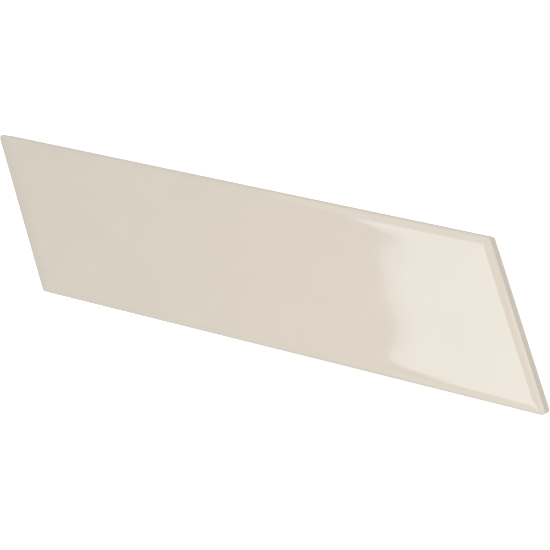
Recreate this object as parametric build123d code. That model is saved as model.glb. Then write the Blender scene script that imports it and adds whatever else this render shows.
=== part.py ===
from build123d import *
import math
import os

# Chevron wall tile: one pressed and fired ceramic slab, a parallelogram in plan.
# It lies on its keyed back, with the glazed face up. X runs along the long edges, Y across
# them and Z out of the glazed face. The origin is the middle of the back.

# Driving dimensions, in millimetres and degrees
LONG_EDGE = 186.0  # each long edge, measured between the sharp corners
WIDTH = 52.0  # square across, from one long edge to the other
END_ANGLE = 60.0  # acute corner of the parallelogram
THICKNESS = 8.3  # back to glazed face
CORNER_RADIUS = 1.2  # upright corners, in plan

# Cushion edge: the band round the face that falls away to the walls
CUSHION_WIDTH = 2.5  # wall to flat face, in plan, before the knee is rounded
CUSHION_DROP = 0.6  # flat face to the foot of the band
KNEE_RADIUS = 6.5  # flat face rolling into the band
RIM_RADIUS = 0.9  # band rolling into the wall

# Back: a die-cut key of shallow pockets with raised ribs between them
BACK_CHAMFER = 0.5  # arris left by the press round the back
BACK_MARGIN = 4.0  # plain border, wall to the first pockets
KEY_PITCH = 10.0  # about one pocket and one rib
RIB_WIDTH = 1.6  # square across a rib
KEY_DEPTH = 0.6  # pocket depth
KEY_DRAFT_ANGLE = 30.0  # lean of the pocket walls, so that the die lets go

# The knee and the rim each take at most this share of the band's slope
FILLET_SHARE = 0.45

# Directions that the lower, right, upper and left walls face, in degrees anticlockwise from X
WALL_ANGLES = [-90, 90 - END_ANGLE, 90, 270 - END_ANGLE]


def corners(long_edge, width):
    """Sharp corners of a parallelogram about the origin, anticlockwise from the lower left."""
    lean = width / math.tan(math.radians(END_ANGLE))
    return [
        Vector((-long_edge + lean) / 2, -width / 2),
        Vector((long_edge + lean) / 2, -width / 2),
        Vector((long_edge - lean) / 2, width / 2),
        Vector((-long_edge - lean) / 2, width / 2),
    ]


def inner_sizes(inset):
    """Long edge and width of the tile's outline once all four sides have moved in by inset."""
    along = 2 * inset / math.sin(math.radians(END_ANGLE))
    return LONG_EDGE - along, WIDTH - 2 * inset


def cross_section(width):
    """The tile cut square across two opposite walls that stand width apart."""
    slope = math.atan2(CUSHION_DROP, CUSHION_WIDTH)
    room = FILLET_SHARE * math.hypot(CUSHION_DROP, CUSHION_WIDTH)
    rim_radius = min(RIM_RADIUS, room / math.tan(math.pi / 4 - slope / 2))
    knee_radius = min(KNEE_RADIUS, room / math.tan(slope / 2))

    band_foot = THICKNESS - CUSHION_DROP
    half = [
        (width / 2 - BACK_CHAMFER, 0),
        (width / 2, BACK_CHAMFER),
        (width / 2, band_foot),
        (width / 2 - CUSHION_WIDTH, THICKNESS),
    ]
    other_half = [(-x, z) for x, z in reversed(half)]
    section = make_face(Polyline(*half, *other_half, close=True))
    rims = section.vertices().filter_by_position(Axis.Y, band_foot, band_foot)
    section = fillet(rims, rim_radius)
    knees = section.vertices().filter_by_position(Axis.Y, THICKNESS, THICKNESS)
    return fillet(knees, knee_radius)


def upright_plane(facing):
    """A vertical plane through the origin whose x axis points in the facing direction."""
    across = Vector(1, 0).rotate(Axis.Z, facing)
    return Plane(origin=(0, 0, 0), x_dir=across, z_dir=across.cross(Vector(0, 0, 1)))


def sharp_slab():
    """Walls, cushion and flat face with sharp upright corners, where two long bars cross."""
    _, right, upper, _ = WALL_ANGLES
    between_ends = LONG_EDGE * math.sin(math.radians(END_ANGLE))
    bar_along = extrude(upright_plane(upper) * cross_section(WIDTH), LONG_EDGE, both=True)
    bar_across = extrude(upright_plane(right) * cross_section(between_ends), LONG_EDGE, both=True)
    return bar_along & bar_across


def sharp_corner(index):
    """The piece of a sharp corner that lies outside its rounding."""
    sharp = corners(LONG_EDGE, WIDTH)[index]
    centre = corners(*inner_sizes(CORNER_RADIUS))[index]
    first, last = [
        centre + Vector(CORNER_RADIUS, 0).rotate(Axis.Z, facing)
        for facing in (WALL_ANGLES[index - 1], WALL_ANGLES[index])
    ]
    return extrude(make_face(Polyline(centre, first, sharp, last, close=True)), THICKNESS)


def round_corner(index):
    """The tile's edge section turned about the middle of a corner's rounding."""
    centre = corners(*inner_sizes(CORNER_RADIUS))[index]
    facing = WALL_ANGLES[index - 1]
    turn = (WALL_ANGLES[index] - facing) % 360
    edge = Pos(CORNER_RADIUS - WIDTH / 2, 0) * cross_section(WIDTH)
    within_radius = Pos(CORNER_RADIUS / 2, THICKNESS / 2) * Rectangle(CORNER_RADIUS, THICKNESS)
    return Pos(centre) * revolve(upright_plane(facing) * (edge & within_radius), Axis.Z, turn)


def key_pockets():
    """Shallow pockets that fill the back inside its border, in rows parallel to the edges."""
    field_long, field_width = inner_sizes(BACK_MARGIN)
    rib_along = RIB_WIDTH / math.sin(math.radians(END_ANGLE))
    columns = max(1, round(field_long / KEY_PITCH))
    rows = max(1, round(field_width / KEY_PITCH))
    pocket_long = (field_long + rib_along) / columns - rib_along
    pocket_width = (field_width + RIB_WIDTH) / rows - RIB_WIDTH
    outline = make_face(Polyline(*corners(pocket_long, pocket_width), close=True))
    pocket = extrude(outline, KEY_DEPTH, taper=KEY_DRAFT_ANGLE)

    pockets = []
    for row in range(rows):
        y = (row - (rows - 1) / 2) * (pocket_width + RIB_WIDTH)
        row_shift = -y / math.tan(math.radians(END_ANGLE))
        for column in range(columns):
            x = (column - (columns - 1) / 2) * (pocket_long + rib_along) + row_shift
            pockets.append(Pos(x, y, 0) * pocket)
    return pockets


os.makedirs("parts", exist_ok=True)
slab = sharp_slab() - [sharp_corner(index) for index in range(4)]
slab = slab + [round_corner(index) for index in range(4)]
chevron_tile = slab - key_pockets()
export_step(chevron_tile, "parts/chevron_tile.step")
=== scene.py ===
import math

import bpy
from mathutils import Matrix, Vector, noise


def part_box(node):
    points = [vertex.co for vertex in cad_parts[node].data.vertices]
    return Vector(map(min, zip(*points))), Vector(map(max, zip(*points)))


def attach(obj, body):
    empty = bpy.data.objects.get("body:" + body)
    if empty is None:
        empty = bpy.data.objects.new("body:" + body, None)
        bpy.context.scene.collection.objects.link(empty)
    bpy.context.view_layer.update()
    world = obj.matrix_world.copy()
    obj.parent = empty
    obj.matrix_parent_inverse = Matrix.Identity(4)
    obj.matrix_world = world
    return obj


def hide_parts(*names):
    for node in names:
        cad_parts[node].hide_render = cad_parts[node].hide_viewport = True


# Chevron wall tile: a glossy cream glaze on a pale clay body, lying on its keyed back.
# X runs along the long edges, Y across them and Z out of the glazed face. The origin is the middle
# of the back, and lengths are in metres.
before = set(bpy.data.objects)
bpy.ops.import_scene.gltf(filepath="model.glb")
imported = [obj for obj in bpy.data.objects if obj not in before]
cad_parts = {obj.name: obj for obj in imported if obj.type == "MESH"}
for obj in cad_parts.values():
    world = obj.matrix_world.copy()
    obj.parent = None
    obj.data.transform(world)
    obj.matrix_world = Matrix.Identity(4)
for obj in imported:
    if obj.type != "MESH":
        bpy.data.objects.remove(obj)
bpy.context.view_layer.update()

MM = 0.001

# Plan of the tile, from the CAD node's box
LOW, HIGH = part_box("chevron_tile")
END_ANGLE = math.radians(60.0)  # acute corner
CORNER_RADIUS = 1.2 * MM  # upright corners, in plan
WIDTH = HIGH.y - LOW.y
THICKNESS = HIGH.z - LOW.z
LEAN = WIDTH / math.tan(END_ANGLE)  # how far the upper long edge is shifted left
CORNER_CUT = CORNER_RADIUS * (1 / math.tan(END_ANGLE / 2) - 1)  # what rounding takes off the length
LONG_EDGE = HIGH.x - LOW.x - LEAN + 2 * CORNER_CUT

# Outward directions of the lower, right, upper and left walls
WALL_ANGLES = [-math.pi / 2, math.pi / 2 - END_ANGLE, math.pi / 2, 3 * math.pi / 2 - END_ANGLE]

# Cushion edge: wall, rim, band and knee
CUSHION_WIDTH = 2.5 * MM
CUSHION_DROP = 0.6 * MM
KNEE_RADIUS = 6.5 * MM
RIM_RADIUS = 0.9 * MM
FACE_CORNER_RADIUS = 1.0 * MM  # where the glaze softens the corners of the flat face
BAND_SLOPE = math.atan2(CUSHION_DROP, CUSHION_WIDTH)

# Back: arris, plain border and key of shallow pockets
BACK_CHAMFER = 0.5 * MM
BACK_MARGIN = 4.0 * MM
KEY_PITCH = 10.0 * MM
RIB_WIDTH = 1.6 * MM
KEY_DEPTH = 0.6 * MM
KEY_DRAFT_ANGLE = math.radians(30.0)
KEY_WALL_RUN = KEY_DEPTH * math.tan(KEY_DRAFT_ANGLE)  # a pocket wall, in plan

# Glaze: it laps over the rim and ends just below it on the wall
GLAZE_THICKNESS = 0.06 * MM
GLAZE_EDGE_HEIGHT = 6.6 * MM
GLAZE_EDGE_WANDER = 0.3 * MM
GLAZE_EDGE_WAVE = 9.0 * MM
GLAZE_EDGE_FRACTAL = (1.0, 2.0, 3)  # dimension, step from octave to octave, number of octaves
ROLL_WIDTH = 5.8 * MM  # wall to where the glaze starts to roll gently down to the knee
ROLL_RADIUS = 62.0 * MM
BEAD_INSET = 4.6 * MM  # wall to the top of the faint bead that the glaze forms before it rolls down
BEAD_WIDTH = 3.5 * MM  # each side
BEAD_HEIGHT = 0.028 * MM
FACE_WAVE = 17.0 * MM  # the slow waviness of the fired glaze
FACE_WAVE_DEPTH = 0.092 * MM
FACE_WAVE_SHIFT = Vector((29.4, 28.6, 0.0))  # picks the stretch of waves, in wave lengths

# Mesh
GRID_INSET = 3.8 * MM  # where the rings round the edge meet the grids of the two faces
CORNER_STEPS = 6  # half of one corner
ARC_STEPS = 8  # rim and knee
KEY_WALL_STEPS = 4
KEY_FLOOR_STEPS = 5
BEVEL = 0.06 * MM  # tiny rounding of the arris
BEVEL_CUT = 0.15 * BEVEL  # what it takes off the arris's two sharp edges
GLAZE = 0  # material slots
CLAY = 1

# Shading
NOISE_MIDDLE = (0.3, 0.7)  # where most of a noise's values lie
FLOOR_HALF = 30.0  # so wide that its edge stays far off in low views
FLOOR_COLOR = (0.92, 0.92, 0.92, 1)
FLOOR_ROUGHNESS = 0.9
FLOOR_SPECULAR = 0.1
FLOOR_GLOW = 0.45

# Camera: fitted to the tile's four edges in the 550 by 550 pixel photo
CAMERA_PLACE = Vector((0.19716, 0.04024, 0.49910))
CAMERA_TARGET = Vector((0.00540, -0.00221, 0.0))
CAMERA_SENSOR = 36.0  # mm, width and height of the square picture
CAMERA_LENS = 102.4  # mm
CAMERA_TURN = math.radians(12.06)  # the tile is turned this much clockwise in the picture

# Light: a white room with a dim side on the left, a softbox overhead that the glaze mirrors, a dim
# panel at each end of the softbox and a warm light on the right
ROOM_STRENGTH = 0.808
DIM_SIDE = Vector((-0.93, -0.10, 0.35))  # towards the middle of the room's dim side
DIM_SHARE = 0.7  # of the room's strength
DIM_EDGE = (0.708, 0.825)  # where the dim side fades in, as a cosine from its middle
SOFTBOX_HEIGHT = 1.2
SOFTBOX_TURN = math.radians(18.0)
SOFTBOX_ACROSS = (-0.310, 0.0)  # left and right edges in plan, square across the softbox
SOFTBOX_ALONG = (-0.45, 0.205)  # lower and upper edges in plan, along the softbox
SOFTBOX_ENERGY = 2.08
SOFTBOX_COLOR = (0.86, 0.96, 1.0)
BORDER_ACROSS = (-0.3245, SOFTBOX_ACROSS[0])  # the softbox's dimmer left border
BORDER_ENERGY = 0.073
FAR_PANEL_ACROSS = (BORDER_ACROSS[0], SOFTBOX_ACROSS[1])
FAR_PANEL_ALONG = (SOFTBOX_ALONG[1], 0.9)  # it carries on from the softbox's upper edge
FAR_PANEL_ENERGY = 0.55
NEAR_PANEL_ACROSS = (-0.6, 0.0)
NEAR_PANEL_ALONG = (-1.1, SOFTBOX_ALONG[0])  # it ends at the softbox's lower edge
NEAR_PANEL_ENERGY = 0.74
PANEL_COLOR = (0.75, 0.97, 1.0)
SIDE_HEIGHT = 0.42
SIDE_DISTANCE = 0.205  # square out from the right end, in plan
SIDE_SHIFT = 0.095  # along the right end, from its middle towards its lower corner
SIDE_SIZE = (0.26, 0.12)
SIDE_ENERGY = 0.62
SIDE_COLOR = (1.0, 0.92, 0.80)


# Outline


def inner_sizes(inset):
    """Long edge and width of the outline once all four sides have moved in by inset."""
    return LONG_EDGE - 2 * inset / math.sin(END_ANGLE), WIDTH - 2 * inset


def sharp_corners(inset):
    """The inset outline's corners, anticlockwise from lower left."""
    long_edge, width = inner_sizes(inset)
    lean = width / math.tan(END_ANGLE)
    return [
        Vector(((-long_edge + lean) / 2, -width / 2)),
        Vector(((long_edge + lean) / 2, -width / 2)),
        Vector(((long_edge - lean) / 2, width / 2)),
        Vector(((-long_edge - lean) / 2, width / 2)),
    ]


def wall_angle(wall):
    """A wall's outward direction, growing by a full turn each time round."""
    return WALL_ANGLES[wall % 4] + 2 * math.pi * (wall // 4)


def direction(angle):
    """A unit vector in plan."""
    return Vector((math.cos(angle), math.sin(angle)))


def arc_centre(inset, radius, corner):
    """Centre of the rounding at a corner, which lies between wall corner - 1 and wall corner."""
    before = wall_angle(corner - 1)
    after = wall_angle(corner)
    outward = direction((before + after) / 2)
    return sharp_corners(inset)[corner % 4] - outward * radius / math.cos((after - before) / 2)


def wall_points(inset, radius, wall, shares):
    """Points along one wall: half a corner, the straight run at the given shares, half a corner."""
    start = arc_centre(inset, radius, wall)
    end = arc_centre(inset, radius, wall + 1)
    facing = wall_angle(wall)
    before = (wall_angle(wall - 1) + facing) / 2
    after = (facing + wall_angle(wall + 1)) / 2
    points = []
    for step in range(CORNER_STEPS):
        angle = before + (facing - before) * step / CORNER_STEPS
        points.append(start + radius * direction(angle))
    for share in shares:
        points.append(start.lerp(end, share) + radius * direction(facing))
    for step in range(1, CORNER_STEPS):
        angle = facing + (after - facing) * step / CORNER_STEPS
        points.append(end + radius * direction(angle))
    return points


def wall_distance(x, y):
    """Square distance in plan from a place on the face to the nearest wall."""
    from_long_walls = WIDTH / 2 - abs(y)
    from_ends = (LONG_EDGE / 2 - abs(x + y / math.tan(END_ANGLE))) * math.sin(END_ANGLE)
    return min(from_long_walls, from_ends)


# Relief


def smooth(share):
    """Eases from 0 to 1 with flat ends."""
    return share * share * (3 - 2 * share)


def glaze_wave(x, y):
    """How far the glazed face dips at a place in plan, never above the flat face."""
    place = Vector((x, y, 0.0)) / FACE_WAVE + FACE_WAVE_SHIFT
    return FACE_WAVE_DEPTH * 0.5 * (noise.noise(place) - 1)


def glaze_roll(inset):
    """How far the glaze lies below the full thickness at a distance from the wall, waves apart."""
    run = max(0.0, ROLL_WIDTH - inset)
    from_bead = min(1.0, abs(inset - BEAD_INSET) / BEAD_WIDTH)
    return run * run / (2 * ROLL_RADIUS) + BEAD_HEIGHT * smooth(from_bead)


def glaze_edge(x, y):
    """How far the glaze's lower edge wanders up or down the wall at a place in plan."""
    place = Vector((x, y, 0.0)) / GLAZE_EDGE_WAVE
    return GLAZE_EDGE_WANDER * noise.fractal(place, *GLAZE_EDGE_FRACTAL)


def face_height(x, y, key_share):
    """Height of the glazed face, which the key on the back doesn't reach."""
    return THICKNESS + glaze_wave(x, y) - glaze_roll(wall_distance(x, y))


def back_height(x, y, key_share):
    """Height of the back, where key_share grows from 0 on a rib to 1 on a pocket's floor."""
    return KEY_DEPTH * key_share


# Sections


def wall_section():
    """Rings from the back to the rim's foot as (inset, height, share of the wander, material).

    The wander is the glaze edge's, and the material is that of the strip below the ring. The clay
    stands inside the glaze by its thickness, which also measures the profile of the glaze's lip.
    """
    lip = GLAZE_THICKNESS
    return [
        (lip + BACK_CHAMFER + BEVEL, 0.0, 0.0, CLAY),
        (lip + BACK_CHAMFER, BEVEL_CUT, 0.0, CLAY),
        (lip + BEVEL_CUT, BACK_CHAMFER, 0.0, CLAY),
        (lip, BACK_CHAMFER + BEVEL, 0.0, CLAY),
        (lip, GLAZE_EDGE_HEIGHT - 1.5 * lip, 1.0, CLAY),
        (0.5 * lip, GLAZE_EDGE_HEIGHT - lip, 1.0, GLAZE),
        (0.1 * lip, GLAZE_EDGE_HEIGHT, 1.0, GLAZE),
        (0.0, GLAZE_EDGE_HEIGHT + lip, 1.0, GLAZE),
    ]


def face_section():
    """Rings from the rim's foot to the flat face as (inset, corner radius, height)."""
    # The knee ends where it has come down to the slope of the glaze's roll
    knee_end = CUSHION_WIDTH + KNEE_RADIUS * math.tan(BAND_SLOPE / 2)
    roll_slope = (ROLL_WIDTH - knee_end) / (ROLL_RADIUS - KNEE_RADIUS)
    roll_inset = knee_end - KNEE_RADIUS * roll_slope
    knee_top = THICKNESS - glaze_roll(roll_inset) + KNEE_RADIUS * roll_slope**2 / 2

    turn = math.pi / 2 - BAND_SLOPE
    rim_foot = knee_top - CUSHION_DROP - RIM_RADIUS * math.tan(turn / 2)
    rings = []
    for step in range(ARC_STEPS + 1):
        angle = turn * step / ARC_STEPS
        inset = RIM_RADIUS * (1 - math.cos(angle))
        rings.append((inset, CORNER_RADIUS - inset, rim_foot + RIM_RADIUS * math.sin(angle)))
    rim_inset, rim_corner, _ = rings[-1]

    for step in range(ARC_STEPS + 1):
        angle = BAND_SLOPE + (roll_slope - BAND_SLOPE) * step / ARC_STEPS
        inset = knee_end - KNEE_RADIUS * math.sin(angle)
        share = (inset - rim_inset) / (knee_end - rim_inset)
        corner = rim_corner + (FACE_CORNER_RADIUS - rim_corner) * share
        rings.append((inset, corner, knee_top - KNEE_RADIUS * (1 - math.cos(angle))))
    return rings


def key_lines(length, stretch):
    """Grid lines across one direction of the back, as (place, depth share) with 0 at the middle.

    The lines sit where the key's pocket walls need them. stretch turns a square distance into one
    measured along the lines' own direction.
    """
    margin = (BACK_MARGIN - GRID_INSET) * stretch
    rib = RIB_WIDTH * stretch
    run = KEY_WALL_RUN * stretch
    field = length - 2 * margin
    count = max(1, round(field / KEY_PITCH))
    pocket = (field + rib) / count - rib
    floor = pocket - 2 * run
    lines = [(-length / 2, 0.0)]
    for index in range(count):
        start = -field / 2 + index * (pocket + rib)
        for step in range(KEY_WALL_STEPS + 1):
            share = step / KEY_WALL_STEPS
            lines.append((start + run * share, smooth(share)))
        for step in range(1, KEY_FLOOR_STEPS):
            lines.append((start + run + floor * step / KEY_FLOOR_STEPS, 1.0))
        for step in range(KEY_WALL_STEPS + 1):
            share = step / KEY_WALL_STEPS
            lines.append((start + run + floor + run * share, smooth(1 - share)))
    lines.append((length / 2, 0.0))
    return lines


# Mesh


def run_shares(lines):
    """Where grid lines meet a wall's straight run, as shares of it. The end lines go to the corners."""
    first = lines[CORNER_STEPS][0]
    last = lines[-1 - CORNER_STEPS][0]
    return [(place - first) / (last - first) for place, _ in lines[CORNER_STEPS:-CORNER_STEPS]]


def grid_border(grid):
    """A grid's outer vertices, anticlockwise from lower left."""
    lower = grid[0][:-1]
    right = [line[-1] for line in grid[:-1]]
    upper = grid[-1][:0:-1]
    left = [line[0] for line in grid[:0:-1]]
    return lower + right + upper + left


class TileMesh:
    """The tile's vertices and faces, with each face's material slot."""

    def __init__(self):
        grid_long, grid_width = inner_sizes(GRID_INSET)
        self.columns = key_lines(grid_long, 1 / math.sin(END_ANGLE))
        self.rows = key_lines(grid_width, 1.0)
        # Walls are walked anticlockwise. Both sets of lines are the same read from either end.
        self.wall_shares = [run_shares(self.columns), run_shares(self.rows)] * 2
        self.vertices = []
        self.faces = []
        self.materials = []

    def add_vertex(self, x, y, z):
        """Adds a vertex and returns its number."""
        self.vertices.append((x, y, z))
        return len(self.vertices) - 1

    def add_face(self, corners, material):
        """Adds a face between numbered vertices."""
        self.faces.append(corners)
        self.materials.append(material)

    def add_ring(self, inset, radius, height, share, relief):
        """A ring round the edge at a height, to which a share of relief(x, y) is added."""
        ring = []
        for wall in range(4):
            for x, y in wall_points(inset, radius, wall, self.wall_shares[wall]):
                ring.append(self.add_vertex(x, y, height + share * relief(x, y)))
        return ring

    def add_grid(self, height):
        """A grid inside the rings, at height(x, y, share of a pocket's depth)."""
        grid = []
        for y, row_depth in self.rows:
            line = []
            for along, column_depth in self.columns:
                x = along - y / math.tan(END_ANGLE)
                line.append(self.add_vertex(x, y, height(x, y, row_depth * column_depth)))
            grid.append(line)
        return grid

    def fill(self, grid, material, up):
        """Faces over a whole grid, looking up or down."""
        for near, far in zip(grid, grid[1:]):
            for column in range(len(near) - 1):
                quad = [near[column], near[column + 1], far[column + 1], far[column]]
                self.add_face(quad if up else quad[::-1], material)

    def join(self, lower_ring, upper_ring, material):
        """A strip of faces between two rings."""
        count = len(lower_ring)
        for index in range(count):
            after = (index + 1) % count
            quad = [lower_ring[index], lower_ring[after], upper_ring[after], upper_ring[index]]
            self.add_face(quad, material)

    def to_mesh(self, name):
        """The finished mesh, smooth all over."""
        mesh = bpy.data.meshes.new(name)
        mesh.from_pydata(self.vertices, [], self.faces)
        mesh.polygons.foreach_set("material_index", self.materials)
        mesh.polygons.foreach_set("use_smooth", [True] * len(self.faces))
        mesh.update()
        return mesh


def build_tile_mesh():
    """One closed mesh: keyed back, clay wall, glazed wall, cushion edge and face."""
    tile = TileMesh()
    back = tile.add_grid(back_height)
    tile.fill(back, CLAY, up=False)
    ring = grid_border(back)
    for inset, height, wander, material in wall_section():
        above = tile.add_ring(inset, CORNER_RADIUS - inset, height, wander, glaze_edge)
        tile.join(ring, above, material)
        ring = above
    for inset, radius, height in face_section():
        share = smooth(min(1.0, inset / CUSHION_WIDTH))
        above = tile.add_ring(inset, radius, height, share, glaze_wave)
        tile.join(ring, above, GLAZE)
        ring = above
    face = tile.add_grid(face_height)
    tile.join(ring, grid_border(face), GLAZE)
    tile.fill(face, GLAZE, up=True)
    return tile.to_mesh("glazed_tile")


# Materials


def add_node(tree, kind, **values):
    """A shader node with its sockets or settings set by name."""
    node = tree.nodes.new(kind)
    for name, value in values.items():
        socket = node.inputs.get(name.replace("_", " "))
        if socket is None:
            setattr(node, name, value)
        else:
            socket.default_value = value
    return node


def add_noise(tree, size, detail=2.0, roughness=0.5):
    """Noise with features of about the given size in metres, in the tile's own coordinates."""
    place = add_node(tree, "ShaderNodeTexCoord")
    grain = add_node(tree, "ShaderNodeTexNoise", Scale=1 / size, Detail=detail, Roughness=roughness)
    tree.links.new(place.outputs["Object"], grain.inputs["Vector"])
    return grain.outputs["Fac"]


def add_range(tree, value, low, high):
    """The middle of a noise spread over low to high."""
    start, end = NOISE_MIDDLE
    spread = add_node(tree, "ShaderNodeMapRange", From_Min=start, From_Max=end, To_Min=low, To_Max=high)
    tree.links.new(value, spread.inputs["Value"])
    return spread.outputs["Result"]


def add_tones(tree, value, first, second):
    """The middle of a noise spread over two tones."""
    ramp = add_node(tree, "ShaderNodeValToRGB")
    for stop, position, tone in zip(ramp.color_ramp.elements, NOISE_MIDDLE, (first, second)):
        stop.position = position
        stop.color = (*tone, 1)
    tree.links.new(value, ramp.inputs["Fac"])
    return ramp.outputs["Color"]


def surface_material(name, tones, tone_noise, roughness, grain_size, grain_height):
    """A principled material with mottled colour, uneven roughness and a fine bump.

    tone_noise is the mottle's size, detail and roughness. The finish varies at a third of that size.
    """
    tone_size = tone_noise[0]
    material = bpy.data.materials.new(name)
    material.use_nodes = True
    tree = material.node_tree
    shader = tree.nodes["Principled BSDF"]
    color = add_tones(tree, add_noise(tree, *tone_noise), *tones)
    tree.links.new(color, shader.inputs["Base Color"])
    uneven = add_range(tree, add_noise(tree, tone_size / 3), *roughness)
    tree.links.new(uneven, shader.inputs["Roughness"])
    bump = add_node(tree, "ShaderNodeBump", Strength=1.0, Distance=grain_height)
    tree.links.new(add_noise(tree, grain_size), bump.inputs["Height"])
    tree.links.new(bump.outputs["Normal"], shader.inputs["Normal"])
    return material


def glaze_material():
    """Glossy cream glaze with a faint mottle and an almost flat orange peel."""
    return surface_material(
        "glaze",
        tones=((0.639, 0.573, 0.498), (0.653, 0.587, 0.512)),
        tone_noise=(14 * MM, 3.0),
        roughness=(0.036, 0.048),
        grain_size=5.0 * MM,
        grain_height=0.003 * MM,
    )


def clay_material():
    """Bare fired clay, pale and slightly pink, with a fine dry grain."""
    return surface_material(
        "bisque_clay",
        tones=((0.69, 0.610, 0.530), (0.75, 0.670, 0.590)),
        tone_noise=(1.2 * MM, 5.0, 0.7),
        roughness=(0.78, 0.92),
        grain_size=0.45 * MM,
        grain_height=0.05 * MM,
    )


# Tile and floor


def build_tile():
    """The dressed tile, which stands for the CAD solid."""
    tile = bpy.data.objects.new("glazed_tile", build_tile_mesh())
    bpy.context.scene.collection.objects.link(tile)
    tile.data.materials.append(glaze_material())
    tile.data.materials.append(clay_material())
    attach(tile, "root")
    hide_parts("chevron_tile")


def build_floor():
    """A plain pale floor under the tile. Only the room and the lamps light the tile's walls."""
    corners = [(x * FLOOR_HALF, y * FLOOR_HALF, 0) for x, y in ((-1, -1), (1, -1), (1, 1), (-1, 1))]
    mesh = bpy.data.meshes.new("floor")
    mesh.from_pydata(corners, [], [(0, 1, 2, 3)])
    material = bpy.data.materials.new("pale_floor")
    material.use_nodes = True
    shader = material.node_tree.nodes["Principled BSDF"]
    shader.inputs["Base Color"].default_value = FLOOR_COLOR
    shader.inputs["Roughness"].default_value = FLOOR_ROUGHNESS
    shader.inputs["Specular IOR Level"].default_value = FLOOR_SPECULAR
    shader.inputs["Emission Color"].default_value = (1, 1, 1, 1)
    shader.inputs["Emission Strength"].default_value = FLOOR_GLOW
    mesh.materials.append(material)
    floor = bpy.data.objects.new("floor", mesh)
    bpy.context.scene.collection.objects.link(floor)
    floor.visible_diffuse = False
    floor.visible_glossy = False


# Light and camera


def build_room():
    """A white room all round, with a dim side on the left."""
    world = bpy.data.worlds.new("studio")
    bpy.context.scene.world = world
    world.use_nodes = True
    tree = world.node_tree
    background = tree.nodes["Background"]
    background.inputs["Color"].default_value = (1, 1, 1, 1)
    place = add_node(tree, "ShaderNodeTexCoord")
    leftness = add_node(tree, "ShaderNodeVectorMath", operation="DOT_PRODUCT")
    leftness.inputs[1].default_value = DIM_SIDE.normalized()
    fade = add_node(tree, "ShaderNodeMapRange", interpolation_type="SMOOTHSTEP")
    fade.inputs["From Min"].default_value, fade.inputs["From Max"].default_value = DIM_EDGE
    fade.inputs["To Min"].default_value = ROOM_STRENGTH
    fade.inputs["To Max"].default_value = DIM_SHARE * ROOM_STRENGTH
    tree.links.new(place.outputs["Generated"], leftness.inputs[0])
    tree.links.new(leftness.outputs["Value"], fade.inputs["Value"])
    tree.links.new(fade.outputs["Result"], background.inputs["Strength"])


def add_softbox(name, place, aim, turn, size, energy, color):
    """A rectangular light that faces aim, turned about its own axis."""
    light = bpy.data.lights.new(name, "AREA")
    light.shape = "RECTANGLE"
    light.size, light.size_y = size
    light.energy = energy
    light.color = color
    lamp = bpy.data.objects.new(name, light)
    facing = (Vector(aim) - Vector(place)).to_track_quat("-Z", "Y").to_matrix().to_4x4()
    lamp.matrix_world = Matrix.Translation(place) @ facing @ Matrix.Rotation(turn, 4, "Z")
    bpy.context.scene.collection.objects.link(lamp)


def add_level_softbox(name, across, along, energy, color):
    """A softbox that hangs level overhead between the given edges, all turned alike."""
    left, right = across
    lower, upper = along
    middle = Vector(((left + right) / 2, (lower + upper) / 2, 0))
    below = Matrix.Rotation(SOFTBOX_TURN, 3, "Z") @ middle
    place = below + Vector((0, 0, SOFTBOX_HEIGHT))
    add_softbox(name, place, below, SOFTBOX_TURN, (right - left, upper - lower), energy, color)


def build_lamps():
    """The softbox with its border and dim panels overhead, and the side light."""
    for name, across, along, energy, color in (
        ("overhead", SOFTBOX_ACROSS, SOFTBOX_ALONG, SOFTBOX_ENERGY, SOFTBOX_COLOR),
        ("overhead_border", BORDER_ACROSS, SOFTBOX_ALONG, BORDER_ENERGY, SOFTBOX_COLOR),
        ("far_panel", FAR_PANEL_ACROSS, FAR_PANEL_ALONG, FAR_PANEL_ENERGY, PANEL_COLOR),
        ("near_panel", NEAR_PANEL_ACROSS, NEAR_PANEL_ALONG, NEAR_PANEL_ENERGY, PANEL_COLOR),
    ):
        add_level_softbox(name, across, along, energy, color)

    outward = direction(WALL_ANGLES[1]).to_3d()
    aim = Vector((LONG_EDGE / 2, 0, 0)) + SIDE_SHIFT * Vector((outward.y, -outward.x, 0))
    place = aim + SIDE_DISTANCE * outward + Vector((0, 0, SIDE_HEIGHT))
    add_softbox("side", place, aim, 0, SIDE_SIZE, SIDE_ENERGY, SIDE_COLOR)


def build_camera():
    """The photograph's own view, with no shift."""
    data = bpy.data.cameras.new("camera")
    data.sensor_fit = "HORIZONTAL"
    data.sensor_width = CAMERA_SENSOR
    data.lens = CAMERA_LENS
    data.clip_start = 10 * MM
    camera = bpy.data.objects.new("camera", data)
    back = (CAMERA_PLACE - CAMERA_TARGET).normalized()
    up = Vector((-math.sin(CAMERA_TURN), math.cos(CAMERA_TURN), 0))
    right = up.cross(back).normalized()
    up = back.cross(right)
    facing = Matrix((right, up, back)).transposed().to_4x4()
    camera.matrix_world = Matrix.Translation(CAMERA_PLACE) @ facing
    bpy.context.scene.collection.objects.link(camera)
    bpy.context.scene.camera = camera


def set_picture():
    """Plain colour handling, so that values in the materials are what the picture shows."""
    view = bpy.context.scene.view_settings
    view.view_transform = "Standard"
    view.look = "None"
    view.exposure = 0.0
    view.gamma = 1.0


build_tile()
build_floor()
build_room()
build_lamps()
build_camera()
set_picture()
